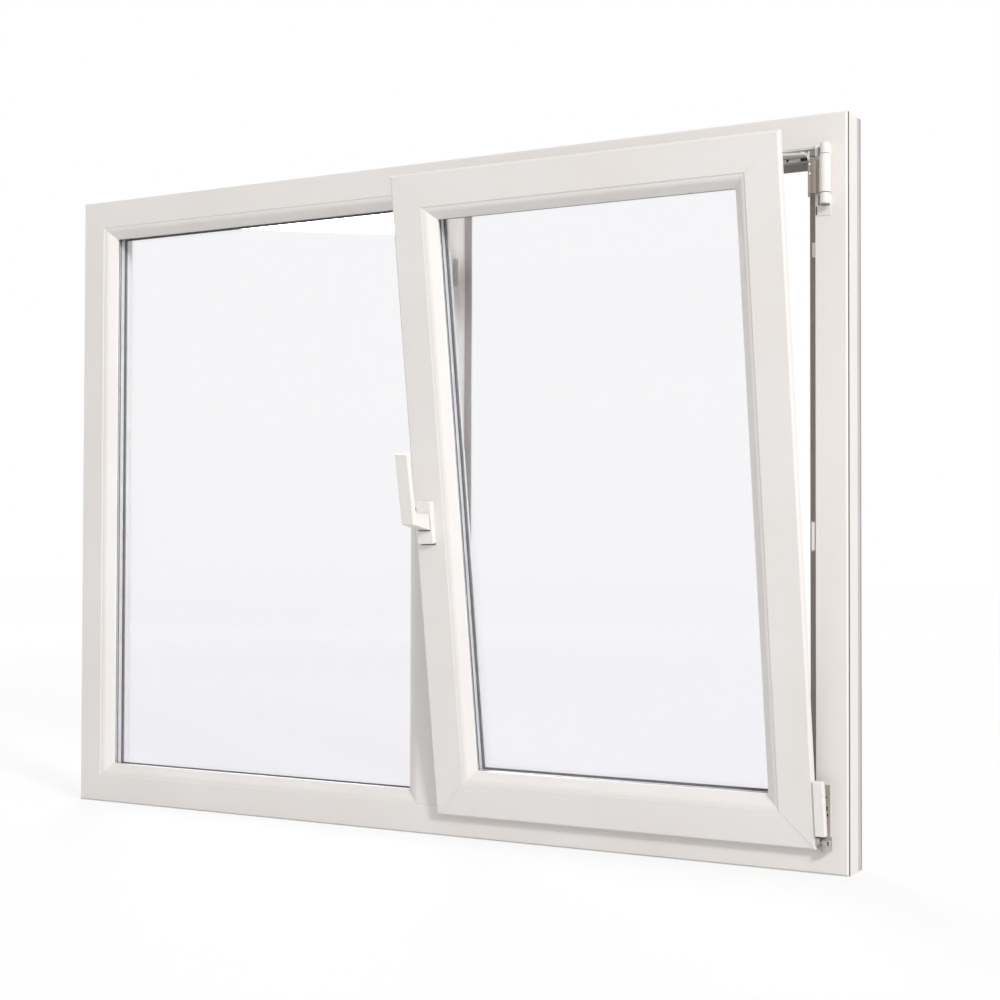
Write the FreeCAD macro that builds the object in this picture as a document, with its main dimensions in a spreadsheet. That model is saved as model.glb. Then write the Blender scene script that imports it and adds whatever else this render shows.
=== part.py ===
# Tilt and turn window in white profiles: a fixed light on the left, a tilted sash on the right.
import FreeCAD
import Part
import Sketcher
import os

# Sizes in millimetres. X runs along the width, Y from the room to the outside, Z upward.
# Zero is the middle of the sill's underside; the frame's room face lies at minus half its depth.
SIZES = {
    "frame_width": 1600,
    "frame_height": 1200,
    "frame_depth": 70,
    "face_width": 53,
    "lip_rise": 20,
    "lip_depth": 20,
    "lip_slope": 5,
    "edge_bevel": 2.5,
    "inner_bevel": 1,
    "side_groove_start": 3,
    "side_groove_width": 4,
    "side_groove_depth": 6,
    "band_bevel": 2,
    "side_line_start": 48,
    "side_line_width": 3,
    "side_line_depth": 3,
    "side_back_step": 1,
    "back_bevel": 2,
    "mullion_left_rebate": 0,
    "mullion_face": 60,
    "bead_width": 22,
    "bead_depth": 20,
    "bead_front": 1.5,
    "bead_nose": 6,
    "bead_tip": 4.5,
    "bead_round": 14,
    "bead_tip_round": 2,
    "gasket_thickness": 3,
    "gasket_height": 6,
    "pane_thickness": 4,
    "cavity_width": 16,
    "glass_edge_gap": 5,
    "spacer_inset": 4,
    "spacer_height": 9,
    "overlap_side": 5.5,
    "overlap_bottom": 13,
    "overlap_top": 5,
    "sash_projection": 18,
    "sash_depth": 65,
    "flange_depth": 12,
    "flange_width": 20,
    "sash_profile_width": 58,
    "sash_lip_rise": 20,
    "sash_lip_depth": 15,
    "hardware_groove_centre": 38,
    "hardware_groove_width": 16,
    "hardware_groove_depth": 13,
    "strip_thickness": 2.5,
    "strip_end_gap": 80,
    "strip_stay_gap": 40,
    "cam_radius": 5.5,
    "cam_length": 8,
    "cam_end_distance": 150,
    "keeper_offset": 7,
    "keeper_depth": 6,
    "keeper_projection": 7,
    "keeper_half_length": 24,
    "hinge_keeper_height": 530,
    "hinge_keeper_projection": 9,
    "hinge_keeper_setback": 4,
    "hinge_keeper_depth": 18,
    "tilt_angle": 8.2,
    "pin_axis_from_edge": 32,
    "pin_axis_proud": 12,
    "tilt_axis_height": 51,
    "stay_swing": 19.6,
    "stay_length": 450,
    "barrel_top_gap": 49,
    "knuckle_length": 18,
    "knuckle_gap": 1.2,
    "knuckle_round": 3.5,
    "sleeve_length": 60,
    "barrel_radius": 8,
    "sleeve_radius": 8.3,
    "sleeve_cover_radius": 9,
    "hinge_pin_radius": 4,
    "running_gap": 0.05,
    "bore_end_wall": 4,
    "foot_half_width": 5,
    "foot_end_gap": 3,
    "knuckle_plate_thickness": 1.5,
    "knuckle_plate_drop": 15,
    "moving_gap": 5,
    "crank_thickness": 2.5,
    "crank_side_gap": 3,
    "crank_top_gap": 7,
    "crank_end_gap": 1,
    "crank_opening_width": 15,
    "crank_opening_margin": 6,
    "arm_thickness": 3,
    "arm_half_width": 7,
    "stud_radius": 3.5,
    "stud_length": 15,
    "rebate_plate_length": 90,
    "rebate_plate_thickness": 1.5,
    "rebate_plate_drop": 12,
    "bearing_drop": 13,
    "bearing_rise": 89.5,
    "bearing_plate_thickness": 3,
    "bearing_left_reach": 14,
    "bearing_right_reach": 6,
    "bearing_web_reach": 5,
    "bearing_strip_left_reach": 9,
    "bearing_strip_right_reach": 3.3,
    "cup_radius": 8,
    "cup_drop": 5.5,
    "bearing_floor": 2,
    "pivot_disc_thickness": 1.6,
    "pivot_head_radius": 7.5,
    "pivot_head_rise": 5,
    "pivot_gap": 0.3,
    "cross_pin_radius": 3,
    "cross_pin_length": 15,
    "ear_wall": 2,
    "ear_gap": 9,
    "band_leaf_thickness": 3,
    "band_right_reach": 1.7,
    "band_riser_height": 20,
    "band_leaf_start": 9,
    "band_leaf_height": 90,
    "cover_proud": 2.5,
    "cover_gap": 0.3,
    "cover_right_reach": 2,
    "cover_start": 12,
    "cover_height": 87,
    "cover_edge_round": 2,
    "cover_depth": 1,
    "seal_thickness": 3,
    "seal_width": 4,
    "seal_margin": 1,
    "lip_seal_height": 13,
    "lip_seal_reach": 5.5,
    "lip_seal_thickness": 2.5,
    "flange_round": 4,
    "handle_height": 519,
    "handle_side": 24.5,
    "lever_width": 24.5,
    "lever_reach": 61.5,
    "grip_lean": 5,
    "grip_thickness": 10,
    "grip_end": 124.5,
    "grip_heel": 4.5,
    "neck_bottom": 12,
    "neck_top": 16,
    "neck_rise": 6,
    "grip_round": 2,
    "elbow_round": 6,
    "rosette_thickness": 10,
    "rosette_half_width": 15.5,
    "rosette_half_height": 36.5,
    "rosette_corner_round": 2.5,
    "rosette_rim_round": 1.5,
    "lever_gap": 1,
    "drain_cover_distance": 150,
    "drain_cover_half_length": 20,
    "drain_cover_projection": 6,
    "drain_cover_bottom": 22,
    "drain_cover_height": 12,
    "drain_cover_round": 4,
}

doc = FreeCAD.newDocument("TiltAndTurnWindow")
sheet = doc.addObject("Spreadsheet::Sheet", "Sizes")


def store(name, text):
    """Write one named cell under the last one."""
    row = store.next_row
    store.next_row += 1
    sheet.set("A%d" % row, name.replace("_", " "))
    sheet.set("B%d" % row, text)
    sheet.setAlias("B%d" % row, name)


store.next_row = 1
for size_name, size_value in SIZES.items():
    store(size_name, str(size_value))
doc.recompute()

# Sizes that follow from the ones above
DERIVED = {
    "face_y": "=-frame_depth / 2",
    "glass_start": "=bead_depth + gasket_thickness",
    "glass_stack": "=2 * pane_thickness + cavity_width",
    "lip_start": "=frame_depth - lip_depth",
    "profile_width": "=face_width + lip_rise",
    "mullion_right_rebate": "=mullion_left_rebate + mullion_face",
    "right_rebate": "=frame_width / 2 - face_width",
    "left_rebate": "=-right_rebate",
    "inside_height": "=frame_height - 2 * face_width",
    "sash_left": "=mullion_right_rebate - overlap_side",
    "sash_right": "=right_rebate + overlap_side",
    "sash_bottom": "=face_width - overlap_bottom",
    "sash_top": "=frame_height - face_width + overlap_top",
    "sash_y": "=face_y - sash_projection",
    "sash_lip_start": "=sash_depth - sash_lip_depth",
    "pin_x": "=frame_width / 2 - pin_axis_from_edge",
    "pin_y": "=face_y - pin_axis_proud",
    "groove_y": "=sash_y + hardware_groove_centre",
    "groove_low": "=groove_y - hardware_groove_width / 2",
    "groove_high": "=groove_y + hardware_groove_width / 2",
    "barrel_top": "=frame_height - barrel_top_gap",
    "sleeve_top": "=barrel_top - knuckle_length - knuckle_gap",
    "sleeve_bottom": "=sleeve_top - sleeve_length",
    "barrel_bottom": "=sleeve_bottom - knuckle_gap - knuckle_length",
    "arm_top": "=frame_height - face_width - rebate_plate_thickness - moving_gap",
    "crank_back": "=groove_y + arm_half_width",
    "knuckle_plate_front": "=face_y - knuckle_plate_thickness",
    "crank_front": "=knuckle_plate_front - crank_thickness",
    "crank_low": "=sleeve_bottom + crank_end_gap",
    "crank_high": "=sleeve_top - crank_top_gap",
    "arm_bottom": "=arm_top - arm_thickness",
    "stud_x": "=pin_x - stay_length",
    "rebate_top": "=frame_height - face_width",
    "rebate_plate_left": "=right_rebate - rebate_plate_length",
    "rebate_plate_right": "=right_rebate - seal_margin",
    "bearing_low": "=tilt_axis_height - bearing_drop",
    "bearing_front": "=face_y - bearing_plate_thickness",
    "cup_top": "=tilt_axis_height - cup_drop",
    "disc_low": "=cup_top + pivot_gap",
    "band_low": "=tilt_axis_height + band_leaf_start",
    "band_high": "=tilt_axis_height + band_leaf_height",
    "band_front": "=pin_y + seal_margin",
    "band_back": "=band_front + band_leaf_thickness",
    "band_right": "=pin_x + band_right_reach",
    "riser_half": "=band_leaf_thickness + seal_margin",
    "riser_top": "=tilt_axis_height + band_riser_height",
    "crank_x": "=right_rebate - crank_side_gap - crank_thickness",
    "cover_bottom": "=tilt_axis_height + cover_start",
    "cover_top": "=cover_bottom + cover_height",
    "cover_front": "=sash_y - cover_proud",
    "cover_back": "=pin_y + cover_depth",
    "cover_left": "=sash_right + cover_gap",
    "cover_right": "=pin_x + cover_right_reach",
    "outside": "=face_y + frame_depth",
    "drain_front": "=outside + drain_cover_projection",
    "drain_top": "=drain_cover_bottom + drain_cover_height",
    "handle_x": "=sash_left + handle_side",
    "handle_z": "=sash_bottom + handle_height",
}
for derived_name, derived_text in DERIVED.items():
    store(derived_name, derived_text)
doc.recompute()
store("sash_pose", "=placement(vector(0; 0; 0); rotation(vector(1; 0; 0); tilt_angle);"
      " vector(0; pin_y; tilt_axis_height))")
store("stay_pose", "=placement(vector(0; 0; 0); rotation(vector(0; 0; 1); stay_swing);"
      " vector(pin_x; pin_y; 0))")
doc.recompute()


def bound(text):
    """Turn a formula over size names into one that reads the sheet."""
    names = sorted(list(SIZES) + list(DERIVED) + ["sash_pose", "stay_pose"], key=len, reverse=True)
    out = ""
    word = ""
    for mark in text + " ":
        if mark.isalnum() or mark == "_":
            word += mark
            continue
        out += "Sizes." + word if word in names else word
        word = ""
        out += mark
    return out.strip()


def number(text):
    """Let the sheet work out a formula over size names in its scratch cell."""
    if text not in number.known:
        sheet.set("D1", "=" + text)
        sheet.recompute()
        number.known[text] = float(sheet.get("D1"))
        sheet.set("D1", "")
    return number.known[text]


number.known = {}


def new_body(name):
    body = doc.addObject("PartDesign::Body", name)
    body.Label = name
    return body


def origin_plane(body, role):
    """Find one of the body's own base planes."""
    for feature in body.Origin.OriginFeatures:
        if feature.Role == role:
            return feature
    raise ValueError(role)


def new_sketch(body, role, name):
    sketch = body.newObject("Sketcher::SketchObject", name)
    sketch.AttachmentSupport = [(origin_plane(body, role), "")]
    sketch.MapMode = "FlatFace"
    return sketch


def fix_point(sketch, line, end, axis, text):
    """Hold one end of a line at a bound distance from an axis."""
    amount = number(text)
    if abs(amount) < 1e-9:
        axis_line = -2 if axis == "DistanceX" else -1
        sketch.addConstraint(Sketcher.Constraint("PointOnObject", line, end, axis_line))
        return
    if amount > 0:
        index = sketch.addConstraint(Sketcher.Constraint(axis, -1, 1, line, end, amount))
        sketch.setExpression("Constraints[%d]" % index, bound(text))
        return
    index = sketch.addConstraint(Sketcher.Constraint(axis, line, end, -1, 1, -amount))
    sketch.setExpression("Constraints[%d]" % index, bound("-(" + text + ")"))


def draw_outline(sketch, points):
    """Draw a closed outline of straight lines through bound points."""
    corners = [FreeCAD.Vector(number(a), number(b), 0) for a, b in points]
    count = len(corners)
    first = sketch.GeometryCount
    for index in range(count):
        sketch.addGeometry(Part.LineSegment(corners[index], corners[(index + 1) % count]), False)
    for index in range(count):
        following = first + (index + 1) % count
        sketch.addConstraint(Sketcher.Constraint("Coincident", first + index, 2, following, 1))
    for index in range(count):
        fix_point(sketch, first + index, 1, "DistanceX", points[index][0])
        fix_point(sketch, first + index, 1, "DistanceY", points[index][1])


def round_edges(body, name, radius, spots):
    """Round the body's edges that pass through the given bound points."""
    base = body.Tip
    names = []
    for spot in spots:
        point = Part.Vertex(FreeCAD.Vector(*[number(text) for text in spot]))
        for index, edge in enumerate(base.Shape.Edges):
            if edge.distToShape(point)[0] < 1e-4:
                names.append("Edge%d" % (index + 1))
    feature = body.newObject("PartDesign::Fillet", name)
    feature.Base = (base, names)
    feature.setExpression("Radius", bound(radius))
    doc.recompute()
    return feature


def pad(body, sketch, name, length, both=False, back=False):
    feature = body.newObject("PartDesign::Pad", name)
    feature.Profile = sketch
    feature.setExpression("Length", bound(length))
    feature.Midplane = both
    feature.Reversed = back
    sketch.Visibility = False
    doc.recompute()
    return feature


def pocket_through(body, sketch, name):
    """Cut a sketch right through the body both ways."""
    feature = body.newObject("PartDesign::Pocket", name)
    feature.Profile = sketch
    feature.Type = 1
    feature.Midplane = True
    sketch.Visibility = False
    doc.recompute()
    return feature


def place(item, text):
    item.setExpression("Placement", bound(text))
    doc.recompute()


# The four sides of a rectangle: turn about the depth axis, and whether the side is upright
SIDES = {
    "bottom": (0, False),
    "top": (180, False),
    "left": (90, True),
    "right": (-90, True),
}


def side_position(side, left, right, bottom, top, depth):
    """Give the middle of one outer edge of a rectangle as a bound vector."""
    middle_x = "(%s + %s) / 2" % (left, right)
    middle_z = "(%s + %s) / 2" % (bottom, top)
    spots = {
        "bottom": (middle_x, bottom),
        "top": (middle_x, top),
        "left": (left, middle_z),
        "right": (right, middle_z),
    }
    across, up = spots[side]
    return "vector(%s; %s; %s)" % (across, depth, up)


def mitred_member(name, side, box, depth, outline, reach, pose, rounds=()):
    """Make one bar of a mitred frame: outline in (depth, inward) points, cut at both ends at 45 degrees."""
    left, right, bottom, top = box
    turn, upright = SIDES[side]
    length = "%s - (%s)" % ((top, bottom) if upright else (right, left))
    body = new_body(name)
    section = new_sketch(body, "YZ_Plane", name + "_section")
    draw_outline(section, outline)
    pad(body, section, name + "_bar", length, both=True)
    for radius, spots in rounds:
        round_edges(body, name + "_" + radius, radius, [("0", spot[0], spot[1]) for spot in spots])
    cuts = new_sketch(body, "XZ_Plane", name + "_mitres")
    margin = 1
    for sign in ("", "-"):
        end = "%s(%s) / 2" % (sign, length)
        shift = "+" if sign == "" else "-"
        back = "-" if sign == "" else "+"
        draw_outline(cuts, [
            ("%s %s %s" % (end, shift, margin), "%s" % -margin),
            ("%s %s %s" % (end, shift, margin), "(%s) + %s" % (reach, margin)),
            ("%s %s ((%s) + %s)" % (end, back, reach, margin), "(%s) + %s" % (reach, margin)),
        ])
    pocket_through(body, cuts, name + "_ends")
    spot = side_position(side, left, right, bottom, top, depth)
    place(body, "%splacement(%s; rotation(vector(0; 1; 0); %s))" % (pose, spot, turn))
    return body


def ring(name, box, inset, height, depth, thickness, pose):
    """Make a flat rectangular ring, such as a gasket or a spacer."""
    left, right, bottom, top = box
    body = new_body(name)
    sketch = new_sketch(body, "XZ_Plane", name + "_outline")
    for step in ("(%s)" % inset, "(%s + %s)" % (inset, height)):
        draw_outline(sketch, [
            ("%s + %s" % (left, step), "%s + %s" % (bottom, step)),
            ("%s - %s" % (right, step), "%s + %s" % (bottom, step)),
            ("%s - %s" % (right, step), "%s - %s" % (top, step)),
            ("%s + %s" % (left, step), "%s - %s" % (top, step)),
        ])
    pad(body, sketch, name + "_pad", thickness, back=True)
    place(body, "%splacement(vector(0; %s; 0); rotation(vector(0; 1; 0); 0))" % (pose, depth))
    return body


def plain_box(name, low, high, pose=""):
    """Make a box between two bound corners."""
    box = doc.addObject("Part::Box", name)
    box.Label = name
    for index, side in enumerate(("Length", "Width", "Height")):
        box.setExpression(side, bound("(%s) - (%s)" % (high[index], low[index])))
    place(box, "%splacement(vector(%s; %s; %s); rotation(vector(0; 1; 0); 0))" % ((pose,) + tuple(low)))
    return box


def cylinder(name, radius, low, high, spot=("pin_x", "pin_y")):
    """Make an upright round bar between two bound heights."""
    item = doc.addObject("Part::Cylinder", name)
    item.setExpression("Radius", bound(radius))
    item.setExpression("Height", bound("(%s) - (%s)" % (high, low)))
    place(item, "placement(vector(%s; %s; %s); rotation(vector(0; 0; 1); 0))" % (spot[0], spot[1], low))
    return item


def cross_cylinder(name, radius, low, high, depth, level):
    """Make a round bar along the width between two bound positions."""
    item = doc.addObject("Part::Cylinder", name)
    item.setExpression("Radius", bound(radius))
    item.setExpression("Height", bound("(%s) - (%s)" % (high, low)))
    place(item, "placement(vector(%s; %s; %s); rotation(vector(0; 1; 0); 90))" % (low, depth, level))
    return item


def join(name, shapes):
    item = doc.addObject("Part::MultiFuse", name)
    item.Label = name
    item.Shapes = shapes
    item.Refine = True
    doc.recompute()
    return item


def cut(name, base, tool):
    item = doc.addObject("Part::Cut", name)
    item.Label = name
    item.Base = base
    item.Tool = tool
    item.Refine = True
    doc.recompute()
    return item


def soften(name, base, radius, spots):
    """Round the edges of a shape that pass through the given bound points."""
    edges = []
    for spot in spots:
        point = Part.Vertex(FreeCAD.Vector(*[number(text) for text in spot]))
        for index, edge in enumerate(base.Shape.Edges):
            if edge.distToShape(point)[0] < 1e-4:
                edges.append((index + 1, number(radius), number(radius)))
    item = doc.addObject("Part::Fillet", name)
    item.Label = name
    item.Base = base
    item.Edges = edges
    doc.recompute()
    return item


# Outer frame: one L-shaped profile, mitred and welded at the corners
frame_box = ("-frame_width / 2", "frame_width / 2", "0", "frame_height")
frame_outline = [
    ("0", "edge_bevel"),
    ("edge_bevel", "0"),
    ("side_groove_start", "0"),
    ("side_groove_start", "side_groove_depth"),
    ("side_groove_start + side_groove_width", "side_groove_depth"),
    ("side_groove_start + side_groove_width", "band_bevel"),
    ("side_groove_start + side_groove_width + band_bevel", "0"),
    ("side_line_start", "0"),
    ("side_line_start", "side_line_depth"),
    ("side_line_start + side_line_width", "side_line_depth"),
    ("side_line_start + side_line_width", "side_back_step"),
    ("frame_depth - back_bevel", "side_back_step"),
    ("frame_depth", "side_back_step + back_bevel"),
    ("frame_depth", "profile_width - lip_slope"),
    ("lip_start", "profile_width"),
    ("lip_start", "face_width"),
    ("inner_bevel", "face_width"),
    ("0", "face_width - inner_bevel"),
]
pieces = []
for side, name in (("bottom", "frame_sill"), ("top", "frame_head"),
                   ("left", "frame_left_jamb"), ("right", "frame_right_jamb")):
    pieces.append(mitred_member(name, side, frame_box, "face_y", frame_outline, "profile_width", ""))

# Mullion: a T-shaped bar that stands between sill and head
mullion = new_body("mullion")
mullion_section = new_sketch(mullion, "XY_Plane", "mullion_section")
draw_outline(mullion_section, [
    ("mullion_left_rebate", "face_y"),
    ("mullion_right_rebate", "face_y"),
    ("mullion_right_rebate", "face_y + lip_start"),
    ("mullion_right_rebate + lip_rise", "face_y + lip_start"),
    ("mullion_right_rebate + lip_rise - lip_slope", "face_y + frame_depth"),
    ("mullion_left_rebate - lip_rise + lip_slope", "face_y + frame_depth"),
    ("mullion_left_rebate - lip_rise", "face_y + lip_start"),
    ("mullion_left_rebate", "face_y + lip_start"),
])
pad(mullion, mullion_section, "mullion_bar", "inside_height")
notches = new_sketch(mullion, "YZ_Plane", "mullion_notches")
for level, rise, slope in (("0", "lip_rise", "-lip_slope"), ("inside_height", "-lip_rise", "lip_slope")):
    draw_outline(notches, [
        ("face_y + lip_start", level),
        ("face_y + lip_start", "%s + %s" % (level, rise)),
        ("face_y + frame_depth", "%s + %s + %s" % (level, rise, slope)),
        ("face_y + frame_depth", level),
    ])
pocket_through(mullion, notches, "mullion_fitting")
place(mullion, "placement(vector(0; 0; face_width); rotation(vector(0; 0; 1); 0))")
pieces.append(mullion)


def glazing(prefix, box, start, depth, pose):
    """Glaze one light: four mitred beads, two panes, a spacer and two gaskets."""
    left, right, bottom, top = ["(%s)" % edge for edge in box]
    bead_box = ("%s + %s" % (left, start), "%s - %s" % (right, start),
                "%s + %s" % (bottom, start), "%s - %s" % (top, start))
    bead_outline = [
        ("bead_depth", "0"),
        ("bead_front", "0"),
        ("bead_front", "bead_nose"),
        ("bead_depth - bead_tip", "bead_width"),
        ("bead_depth", "bead_width"),
    ]
    bead_rounds = (
        ("bead_round", [("bead_front", "bead_nose")]),
        ("bead_tip_round", [("bead_depth - bead_tip", "bead_width")]),
    )
    made = []
    for side in SIDES:
        name = "%s_bead_%s" % (prefix, side)
        edges = ["(%s)" % edge for edge in bead_box]
        made.append(mitred_member(name, side, edges, depth, bead_outline, "bead_width", pose, bead_rounds))
    glass_box = ["(%s + glass_edge_gap)" % bead_box[0], "(%s - glass_edge_gap)" % bead_box[1],
                 "(%s + glass_edge_gap)" % bead_box[2], "(%s - glass_edge_gap)" % bead_box[3]]
    for pane, offset in (("inner", "0"), ("outer", "pane_thickness + cavity_width")):
        front = "%s + glass_start + %s" % (depth, offset)
        made.append(plain_box("%s_pane_%s" % (prefix, pane), (glass_box[0], front, glass_box[2]),
                              (glass_box[1], front + " + pane_thickness", glass_box[3]), pose))
    made.append(ring("%s_spacer" % prefix, glass_box, "spacer_inset", "spacer_height",
                     "%s + glass_start + pane_thickness" % depth, "cavity_width", pose))
    gasket_inset = "(bead_width - glass_edge_gap - gasket_height - seal_margin)"
    made.append(ring("%s_gasket_inner" % prefix, glass_box, gasket_inset, "gasket_height",
                     "%s + bead_depth" % depth, "gasket_thickness", pose))
    made.append(ring("%s_gasket_outer" % prefix, glass_box, gasket_inset, "gasket_height",
                     "%s + glass_start + glass_stack" % depth, "gasket_thickness", pose))
    return made


# Fixed light, glazed straight into the frame
fixed_box = ("left_rebate", "mullion_left_rebate", "face_width", "frame_height - face_width")
pieces += glazing("fixed", fixed_box, "0", "face_y", "")

# Lip seal that the closed sash meets
seal_box = ("mullion_right_rebate", "right_rebate", "face_width", "frame_height - face_width")
pieces.append(ring("frame_lip_seal", seal_box, "lip_rise + lip_seal_reach - lip_seal_height",
                   "lip_seal_height", "face_y + lip_start - lip_seal_thickness", "lip_seal_thickness", ""))

# Sash: a Z-shaped profile whose flange lies over the frame's face
sash_box = ("sash_left", "sash_right", "sash_bottom", "sash_top")
sash_outline = [
    ("0", "0"),
    ("flange_depth", "0"),
    ("flange_depth", "flange_width"),
    ("hardware_groove_centre - hardware_groove_width / 2", "flange_width"),
    ("hardware_groove_centre - hardware_groove_width / 2", "flange_width + hardware_groove_depth"),
    ("hardware_groove_centre + hardware_groove_width / 2", "flange_width + hardware_groove_depth"),
    ("hardware_groove_centre + hardware_groove_width / 2", "flange_width"),
    ("sash_depth", "flange_width"),
    ("sash_depth", "sash_profile_width + sash_lip_rise - lip_slope"),
    ("sash_lip_start", "sash_profile_width + sash_lip_rise"),
    ("sash_lip_start", "sash_profile_width"),
    ("0", "sash_profile_width"),
]
sash = "sash_pose * "
for side, name in (("bottom", "sash_bottom_rail"), ("top", "sash_top_rail"),
                   ("left", "sash_left_stile"), ("right", "sash_right_stile")):
    pieces.append(mitred_member(name, side, sash_box, "sash_y", sash_outline,
                                "sash_profile_width + sash_lip_rise", sash,
                                [("flange_round", [("0", "0")])]))
pieces += glazing("sash", sash_box, "sash_profile_width", "sash_y", sash)

# Seal behind the sash's flange, left open where the stay's crank passes
overlap_seal = ring("sash_overlap_seal", sash_box, "seal_width + seal_margin", "seal_width",
                    "sash_y + flange_depth", "seal_thickness", sash)
seal_cut = new_sketch(overlap_seal, "XZ_Plane", "sash_overlap_seal_gap")
draw_outline(seal_cut, [
    ("sash_right - crank_opening_width", "sleeve_bottom - crank_opening_margin"),
    ("sash_right", "sleeve_bottom - crank_opening_margin"),
    ("sash_right", "sleeve_top + crank_opening_margin"),
    ("sash_right - crank_opening_width", "sleeve_top + crank_opening_margin"),
])
pocket_through(overlap_seal, seal_cut, "sash_overlap_seal_opening")
pieces.append(overlap_seal)

# Steel strips in the sash's hardware groove, with the locking cams
lock_strip = plain_box("lock_strip_bar",
                       ("sash_left + flange_width", "groove_low", "sash_bottom + strip_end_gap"),
                       ("sash_left + flange_width + strip_thickness", "groove_high",
                        "sash_top - strip_end_gap"))
lock_parts = [lock_strip]
for index, level in enumerate(("sash_bottom + cam_end_distance", "sash_top - cam_end_distance")):
    lock_parts.append(cross_cylinder("cam_%d" % (index + 1), "cam_radius",
                                     "sash_left + flange_width + seal_margin - cam_length",
                                     "sash_left + flange_width + seal_margin", "groove_y", level))
lock_join = join("sash_lock_strip", lock_parts)
place(lock_join, "sash_pose * placement(vector(0; 0; 0); rotation(vector(0; 0; 1); 0))")
pieces.append(lock_join)
pieces.append(plain_box("sash_top_strip",
                        ("sash_left + strip_end_gap", "groove_low",
                         "sash_top - flange_width - strip_thickness"),
                        ("stud_x - strip_stay_gap", "groove_high", "sash_top - flange_width"), sash))

# Keepers on the frame for the cams, and the pressing keeper on the hinge side
for name, level in (("keeper_low", "sash_bottom + cam_end_distance"),
                    ("keeper_high", "sash_top - cam_end_distance")):
    pieces.append(plain_box(name, ("mullion_right_rebate", "groove_y + keeper_offset",
                                   level + " - keeper_half_length"),
                            ("mullion_right_rebate + keeper_projection",
                             "groove_y + keeper_offset + keeper_depth", level + " + keeper_half_length")))
pieces.append(plain_box("keeper_hinge_side",
                        ("right_rebate - hinge_keeper_projection", "face_y + hinge_keeper_setback",
                         "hinge_keeper_height - keeper_half_length"),
                        ("right_rebate", "face_y + hinge_keeper_setback + hinge_keeper_depth",
                         "hinge_keeper_height + keeper_half_length")))

# Top hinge: two white knuckles on the right jamb and a steel pin through them
knuckles = (
    ("top_hinge_upper_knuckle", "sleeve_top + knuckle_gap", "barrel_top", "barrel_top",
     "sleeve_top", "barrel_top - bore_end_wall",
     ("sleeve_top + knuckle_gap", "barrel_top - foot_end_gap")),
    ("top_hinge_lower_knuckle", "barrel_bottom", "sleeve_bottom - knuckle_gap", "barrel_bottom",
     "barrel_bottom + bore_end_wall", "sleeve_bottom",
     ("barrel_bottom - knuckle_plate_drop", "sleeve_bottom - knuckle_gap")),
)
for name, low, high, tip, bore_low, bore_high, plate in knuckles:
    tube = soften(name + "_round", cylinder(name + "_tube", "barrel_radius", low, high), "knuckle_round",
                  [("pin_x + barrel_radius", "pin_y", tip)])
    foot = plain_box(name + "_foot", ("pin_x - foot_half_width", "pin_y", "(%s) + foot_end_gap" % low),
                     ("pin_x + foot_half_width", "face_y", "(%s) - foot_end_gap" % high))
    leaf = plain_box(name + "_plate", ("right_rebate + seal_margin", "knuckle_plate_front", plate[0]),
                     ("pin_x + foot_half_width", "face_y", plate[1]))
    pieces.append(cut(name, join(name + "_body", [tube, foot, leaf]),
                      cylinder(name + "_bore", "hinge_pin_radius", bore_low, bore_high)))
pieces.append(cylinder("top_hinge_pin", "hinge_pin_radius - running_gap",
                       "barrel_bottom + bore_end_wall + running_gap",
                       "barrel_top - bore_end_wall - running_gap"))

# Stay: sleeve on the hinge axis, crank through the gap behind the flange, and the arm with its stud
stud_spot = ("stud_x", "groove_y")
stay_solids = [
    cylinder("stay_sleeve", "sleeve_radius", "sleeve_bottom", "sleeve_top"),
    plain_box("stay_crank_face", ("crank_x", "crank_front", "crank_low"),
              ("pin_x", "knuckle_plate_front", "crank_high")),
    plain_box("stay_crank_return", ("crank_x", "crank_front", "crank_low"),
              ("crank_x + crank_thickness", "crank_back", "crank_high")),
    plain_box("stay_crank_web", ("crank_x", "face_y + knuckle_plate_thickness", "crank_high"),
              ("crank_x + crank_thickness", "crank_back", "arm_top")),
    plain_box("stay_bar", ("stud_x", "groove_y - arm_half_width", "arm_bottom"),
              ("crank_x + crank_thickness", "crank_back", "arm_top")),
    cylinder("stay_bar_end", "arm_half_width", "arm_bottom", "arm_top", stud_spot),
    cylinder("stay_stud", "stud_radius", "arm_bottom - stud_length", "arm_top", stud_spot),
]
bore_low = "sleeve_bottom - seal_margin"
bore_high = "sleeve_top + seal_margin"
stay = cut("stay_arm", join("stay_body", stay_solids),
           cylinder("stay_bore", "hinge_pin_radius", bore_low, bore_high))
place(stay, "stay_pose * placement(vector(0; 0; 0); rotation(vector(0; 0; 1); 0))")
pieces.append(stay)

# White cover around the stay's sleeve, open where the crank enters
sleeve_cover = cut("sleeve_cover_tube",
                   cylinder("sleeve_cover_block", "sleeve_cover_radius", "sleeve_bottom", "sleeve_top"),
                   cylinder("sleeve_cover_bore", "sleeve_radius", bore_low, bore_high))
sleeve_cover = cut("stay_sleeve_cover", sleeve_cover,
                   plain_box("sleeve_cover_passage",
                             ("pin_x - 2 * sleeve_radius", "crank_front", "crank_low"),
                             ("pin_x + foot_half_width", "face_y", bore_high)))
place(sleeve_cover, "stay_pose * placement(vector(0; 0; 0); rotation(vector(0; 0; 1); 0))")
pieces.append(sleeve_cover)

# Angled steel plate in the head's corner above the stay
pieces.append(join("head_rebate_plate", [
    plain_box("rebate_plate_flat",
              ("rebate_plate_left", "face_y + seal_margin", "rebate_top - rebate_plate_thickness"),
              ("rebate_plate_right", "face_y + lip_start", "rebate_top")),
    plain_box("rebate_plate_leg",
              ("rebate_plate_left", "face_y + lip_start - rebate_plate_thickness",
               "rebate_top - rebate_plate_drop"),
              ("rebate_plate_right", "face_y + lip_start", "rebate_top")),
]))

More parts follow.
